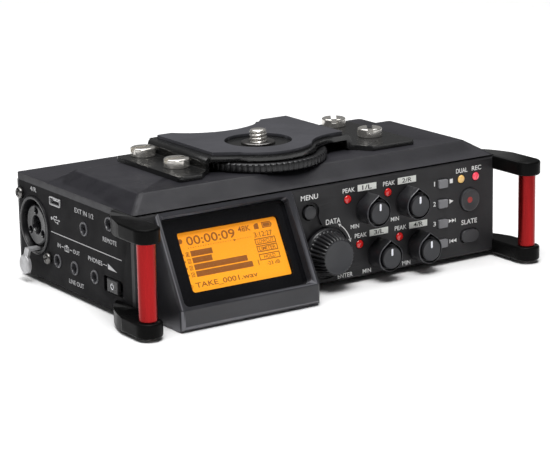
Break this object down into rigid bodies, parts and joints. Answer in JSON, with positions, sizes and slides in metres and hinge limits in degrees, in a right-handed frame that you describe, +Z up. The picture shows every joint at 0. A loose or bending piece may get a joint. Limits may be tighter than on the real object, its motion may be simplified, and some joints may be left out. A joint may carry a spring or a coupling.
{
  "type": "portable audio field recorder",
  "caption": "Flat black field recorder for use under a camera, with tilted amber display, level knobs, side guard bars and a raised camera mounting plate.",
  "frame": {"origin": "centre of the bounding box's footprint, on the surface the recorder stands on", "axes": "+X to the right as seen from the front, +Y towards the rear, +Z up"},
  "size_m": [0.1692, 0.105, 0.0539],
  "materials": {
    "body": "satin",
    "panel": "satin",
    "plate_black": "gloss",
    "pad": "matt",
    "red_alloy": "anodised satin",
    "frame_metal": "satin",
    "housing": "satin",
    "window": "clear",
    "lcd": "backlit",
    "knob_black": "soft touch",
    "dial_black": "satin",
    "key_grey": "satin",
    "key_black": "satin",
    "red_led": "clear tinted",
    "status_led": "clear tinted",
    "board": "lacquered",
    "inner_black": "matt",
    "steel": "plated",
    "wheel_black": "black anodised",
    "jack_black": "satin",
    "tab_grey": "satin",
    "cell": "gloss",
    "brass": "plain",
    "foot": "matt"
  },
  "bodies": {
    "chassis": {"top_cover": "body", "front_panel": "panel", "left_panel": "body", "right_panel": "body", "rear_panel": "body", "base_plate": "body", "right_handle_frame": "frame_metal", "left_handle_frame": "frame_metal", "right_handle_bar": "red_alloy", "left_handle_bar": "red_alloy", "grip_screws": "steel", "screen_bezel": "housing", "screen_window": "window", "lcd_module": "lcd", "rotary_controls": "steel", "switch_bodies": "inner_black", "peak_leds": "red_led", "status_leds": "status_led", "control_board": "board", "main_board": "board", "right_combo_jacks": "jack_black", "left_combo_jack": "jack_black", "jack_screws": "steel", "mini_jacks": "jack_black", "usb_socket": "steel", "mount_plate": "plate_black", "mount_pad": "pad", "stud_collar": "steel", "plate_screws": "steel", "battery_tray": "inner_black", "battery_cells": "cell", "battery_contacts": "steel", "card_socket": "steel", "tripod_socket": "brass", "rubber_feet": "foot", "case_screws": "steel"},
    "wheel": {"mount_wheel": "wheel_black", "camera_stud": "steel"},
    "knob_1": {"level_knob_1": "knob_black"},
    "knob_2": {"level_knob_2": "knob_black"},
    "knob_3": {"level_knob_3": "knob_black"},
    "knob_4": {"level_knob_4": "knob_black"},
    "dial_plunger": {"encoder_plunger": "inner_black"},
    "dial": {"data_dial": "dial_black", "data_shaft": "steel"},
    "menu_key": {"menu_button": "key_grey"},
    "record_key": {"record_button": "key_black"},
    "slate_key": {"slate_button": "key_black"},
    "stop_key": {"stop_button": "key_grey"},
    "play_key": {"play_button": "key_grey"},
    "forward_key": {"forward_button": "key_grey"},
    "rewind_key": {"rewind_button": "key_grey"},
    "power_key": {"power_slider": "key_black"},
    "battery_lid": {"battery_door": "body"},
    "card_lid": {"card_door": "body"},
    "tab_right_1": {"right_release_tab_1": "tab_grey"},
    "tab_right_2": {"right_release_tab_2": "tab_grey"},
    "tab_right_3": {"right_release_tab_3": "tab_grey"},
    "tab_left": {"left_release_tab": "tab_grey"}
  },
  "joints": [
    {"name": "mount_screw_turn", "type": "hinge", "parent": "chassis", "child": "wheel", "pos_m": [-0.0082, -0.0053, 0.046], "axis": [0, 0, 1], "continuous": true},
    {"name": "level_1_turn", "type": "hinge", "parent": "chassis", "child": "knob_1", "pos_m": [0.0185, -0.0377, 0.0262], "axis": [0, 1, 0], "range_deg": [-140, 140]},
    {"name": "level_2_turn", "type": "hinge", "parent": "chassis", "child": "knob_2", "pos_m": [0.036, -0.0377, 0.0262], "axis": [0, 1, 0], "range_deg": [-140, 140]},
    {"name": "level_3_turn", "type": "hinge", "parent": "chassis", "child": "knob_3", "pos_m": [0.0235, -0.0377, 0.0092], "axis": [0, 1, 0], "range_deg": [-140, 140]},
    {"name": "level_4_turn", "type": "hinge", "parent": "chassis", "child": "knob_4", "pos_m": [0.041, -0.0377, 0.0092], "axis": [0, 1, 0], "range_deg": [-140, 140]},
    {"name": "dial_push", "type": "slide", "parent": "chassis", "child": "dial_plunger", "axis": [0, 1, 0], "range_m": [0, 0.0005], "stiffness_N_per_m": 1500, "springref_m": -0.0002},
    {"name": "dial_turn", "type": "hinge", "parent": "dial_plunger", "child": "dial", "pos_m": [0.0006, -0.0377, 0.0132], "axis": [0, 1, 0], "continuous": true},
    {"name": "menu_press", "type": "slide", "parent": "chassis", "child": "menu_key", "axis": [0, 1, 0], "range_m": [0, 0.0005], "stiffness_N_per_m": 1200, "springref_m": -0.0003},
    {"name": "record_press", "type": "slide", "parent": "chassis", "child": "record_key", "axis": [0, 1, 0], "range_m": [0, 0.0005], "stiffness_N_per_m": 1200, "springref_m": -0.0003},
    {"name": "slate_press", "type": "slide", "parent": "chassis", "child": "slate_key", "axis": [0, 1, 0], "range_m": [0, 0.0005], "stiffness_N_per_m": 1200, "springref_m": -0.0003},
    {"name": "stop_press", "type": "slide", "parent": "chassis", "child": "stop_key", "axis": [0, 1, 0], "range_m": [0, 0.0005], "stiffness_N_per_m": 1200, "springref_m": -0.0003},
    {"name": "play_press", "type": "slide", "parent": "chassis", "child": "play_key", "axis": [0, 1, 0], "range_m": [0, 0.0005], "stiffness_N_per_m": 1200, "springref_m": -0.0003},
    {"name": "forward_press", "type": "slide", "parent": "chassis", "child": "forward_key", "axis": [0, 1, 0], "range_m": [0, 0.0005], "stiffness_N_per_m": 1200, "springref_m": -0.0003},
    {"name": "rewind_press", "type": "slide", "parent": "chassis", "child": "rewind_key", "axis": [0, 1, 0], "range_m": [0, 0.0005], "stiffness_N_per_m": 1200, "springref_m": -0.0003},
    {"name": "power_slide", "type": "slide", "parent": "chassis", "child": "power_key", "axis": [0, -1, 0], "range_m": [-0.0022, 0.0022]},
    {"name": "battery_door_swing", "type": "hinge", "parent": "chassis", "child": "battery_lid", "pos_m": [-0.0405, 0.05155, 0.02], "axis": [0, 0, 1], "range_deg": [0, 95]},
    {"name": "card_door_swing", "type": "hinge", "parent": "chassis", "child": "card_lid", "pos_m": [0.0675, 0.05155, 0.02], "axis": [0, 0, 1], "range_deg": [-95, 0]},
    {"name": "release_right_1", "type": "slide", "parent": "chassis", "child": "tab_right_1", "axis": [-1, 0, 0], "range_m": [0, 0.0015], "stiffness_N_per_m": 600, "springref_m": -0.0003},
    {"name": "release_right_2", "type": "slide", "parent": "chassis", "child": "tab_right_2", "axis": [-1, 0, 0], "range_m": [0, 0.0015], "stiffness_N_per_m": 600, "springref_m": -0.0003},
    {"name": "release_right_3", "type": "slide", "parent": "chassis", "child": "tab_right_3", "axis": [-1, 0, 0], "range_m": [0, 0.0015], "stiffness_N_per_m": 600, "springref_m": -0.0003},
    {"name": "release_left", "type": "slide", "parent": "chassis", "child": "tab_left", "axis": [1, 0, 0], "range_m": [0, 0.0015], "stiffness_N_per_m": 600, "springref_m": -0.0003}
  ]
}
